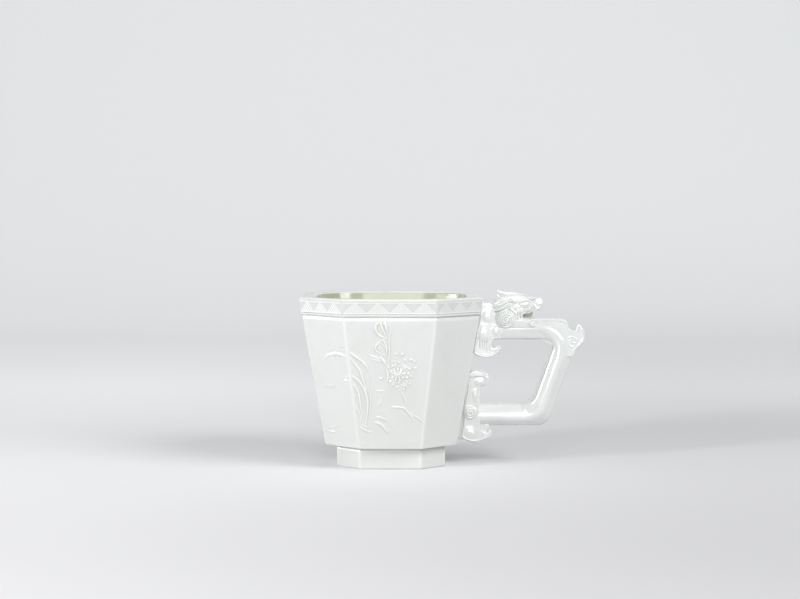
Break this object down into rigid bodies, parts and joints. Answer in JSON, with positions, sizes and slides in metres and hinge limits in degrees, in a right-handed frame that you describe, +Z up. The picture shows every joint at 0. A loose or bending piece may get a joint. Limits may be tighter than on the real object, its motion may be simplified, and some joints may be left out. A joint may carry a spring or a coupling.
{
  "type": "jade cup",
  "caption": "Small octagonal wine cup of pale nephrite on a low foot, with an angular loop handle that carries a dragon's head and a thumb curl.",
  "frame": {"origin": "centre of the foot's underside, on the table", "axes": "+Z up towards the rim, +X out along the handle, -Y the carved face that the picture shows"},
  "size_m": [0.1009, 0.064, 0.0623],
  "materials": {
    "jade_cup": "greenish white nephrite, polished to a waxy gloss",
    "jade_handle": "the same stone, thin enough to let light through, polished brighter"
  },
  "bodies": {
    "root": {"bracket_bosses": "jade_handle", "cheek_spirals": "jade_handle", "cup_wall": "jade_cup", "curl_eyes": "jade_handle", "dragon_brows": "jade_handle", "dragon_eyes": "jade_handle", "dragon_head": "jade_handle", "dragon_horns": "jade_handle", "dragon_jaw": "jade_handle", "dragon_mane": "jade_handle", "foot_ring": "jade_cup", "handle_loop": "jade_handle", "lower_bracket": "jade_handle", "rim_band": "jade_cup", "thumb_curl": "jade_handle", "upper_bracket": "jade_handle"}
  },
  "joints": []
}
